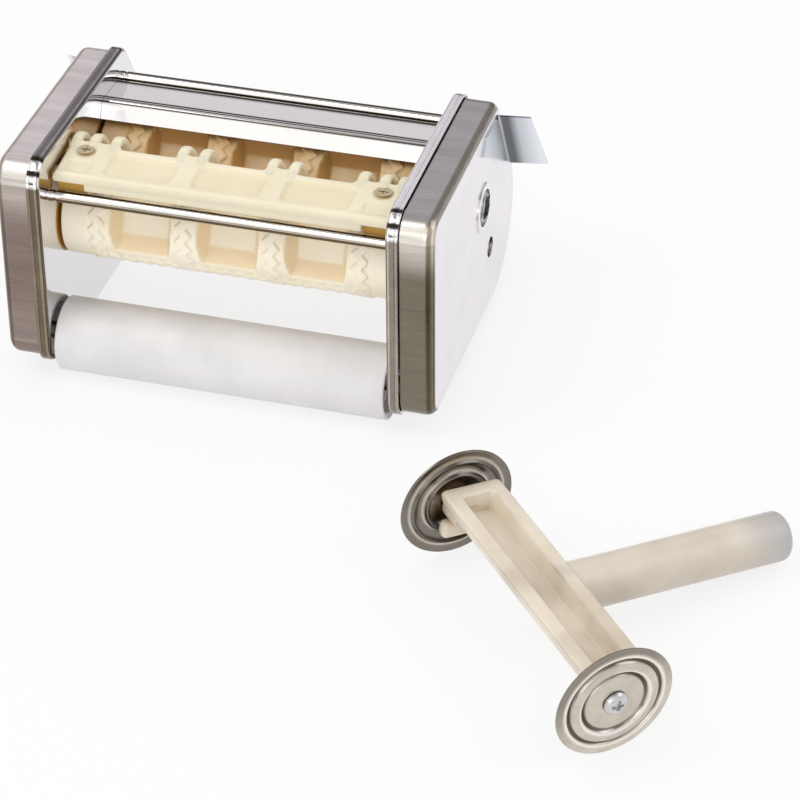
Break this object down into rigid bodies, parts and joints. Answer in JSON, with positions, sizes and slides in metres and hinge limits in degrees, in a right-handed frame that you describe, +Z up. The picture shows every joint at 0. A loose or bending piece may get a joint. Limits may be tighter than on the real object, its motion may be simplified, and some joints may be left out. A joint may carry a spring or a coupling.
{
  "type": "ravioli maker",
  "caption": "Ravioli maker that clips on a pasta machine, with two meshed moulding rollers between steel cheeks and a loose twin wheel dough cutter.",
  "frame": {"origin": "on the drive axis, in the plane of the drive socket's mouth", "axes": "+X out of the drive socket along the roller axes, +Y to the back, +Z up, standing as in the picture"},
  "size_m": [0.3702, 0.3244, 0.1096],
  "materials": {
    "polished_steel": "bright chromed sheet and bar",
    "brushed_cover": "brushed along the height",
    "cream_plastic": "cream moulded plastic, soft gloss",
    "white_plastic": "white moulded plastic, satin",
    "ivory_plastic": "ivory moulded plastic, slightly translucent",
    "wheel_steel": "pressed disc, fine turned grain",
    "machined_steel": "plain machined steel",
    "bush_brass": "plain turned bronze",
    "brass_screw": "yellow passivated screw",
    "screw_steel": "zinc plated screw"
  },
  "bodies": {
    "machine": {"left_side_frame": "polished_steel", "right_side_frame": "polished_steel", "left_end_cover": "brushed_cover", "right_end_cover": "brushed_cover", "left_roller_bushes": "bush_brass", "right_roller_bushes": "bush_brass", "drive_ring": "polished_steel", "front_tie_rod": "polished_steel", "top_tie_rod": "polished_steel", "guide_roller_axle": "polished_steel", "rod_nuts": "machined_steel", "rear_cover_sheet": "polished_steel", "dough_comb": "cream_plastic", "comb_tabs": "machined_steel", "comb_screws": "brass_screw", "cover_posts": "machined_steel", "cover_screws": "screw_steel", "left_wing_bracket": "polished_steel", "right_wing_bracket": "polished_steel"},
    "front_roller": {"front_roller": "cream_plastic", "front_roller_shaft": "machined_steel", "front_gear": "machined_steel", "front_shaft_clips": "machined_steel"},
    "rear_roller": {"rear_roller": "cream_plastic", "rear_drive_shaft": "machined_steel", "rear_gear": "machined_steel", "rear_shaft_clip": "machined_steel"},
    "guide_roller": {"guide_roller": "white_plastic"},
    "cutter": {"cutter_handle": "ivory_plastic", "cutter_left_screw": "screw_steel", "cutter_right_screw": "screw_steel"},
    "cutter_left_wheel": {"cutter_left_wheel": "wheel_steel"},
    "cutter_right_wheel": {"cutter_right_wheel": "wheel_steel"}
  },
  "joints": [
    {"name": "rear_roller_spin", "type": "hinge", "parent": "machine", "child": "rear_roller", "pos_m": [0, 0, 0], "axis": [1, 0, 0], "continuous": true},
    {"name": "front_roller_spin", "type": "hinge", "parent": "machine", "child": "front_roller", "pos_m": [0, -0.04337, 0.00338], "axis": [1, 0, 0], "continuous": true},
    {"name": "guide_roller_spin", "type": "hinge", "parent": "machine", "child": "guide_roller", "pos_m": [-0.0944, -0.07111, -0.04621], "axis": [1, 0, 0], "continuous": true},
    {"name": "cutter_lift", "type": "slide", "parent": "machine", "child": "cutter", "axis": [0, 0, 1], "range_m": [0, 0.15]},
    {"name": "cutter_left_wheel_spin", "type": "hinge", "parent": "cutter", "child": "cutter_left_wheel", "pos_m": [0.02896, -0.14906, -0.03731], "axis": [0.6708, -0.7416, 0], "continuous": true},
    {"name": "cutter_right_wheel_spin", "type": "hinge", "parent": "cutter", "child": "cutter_right_wheel", "pos_m": [0.11804, -0.24754, -0.03731], "axis": [0.6708, -0.7416, 0], "continuous": true}
  ],
  "couplings": [
    {"joint": "front_roller_spin", "follows": "rear_roller_spin", "ratio": -1}
  ]
}
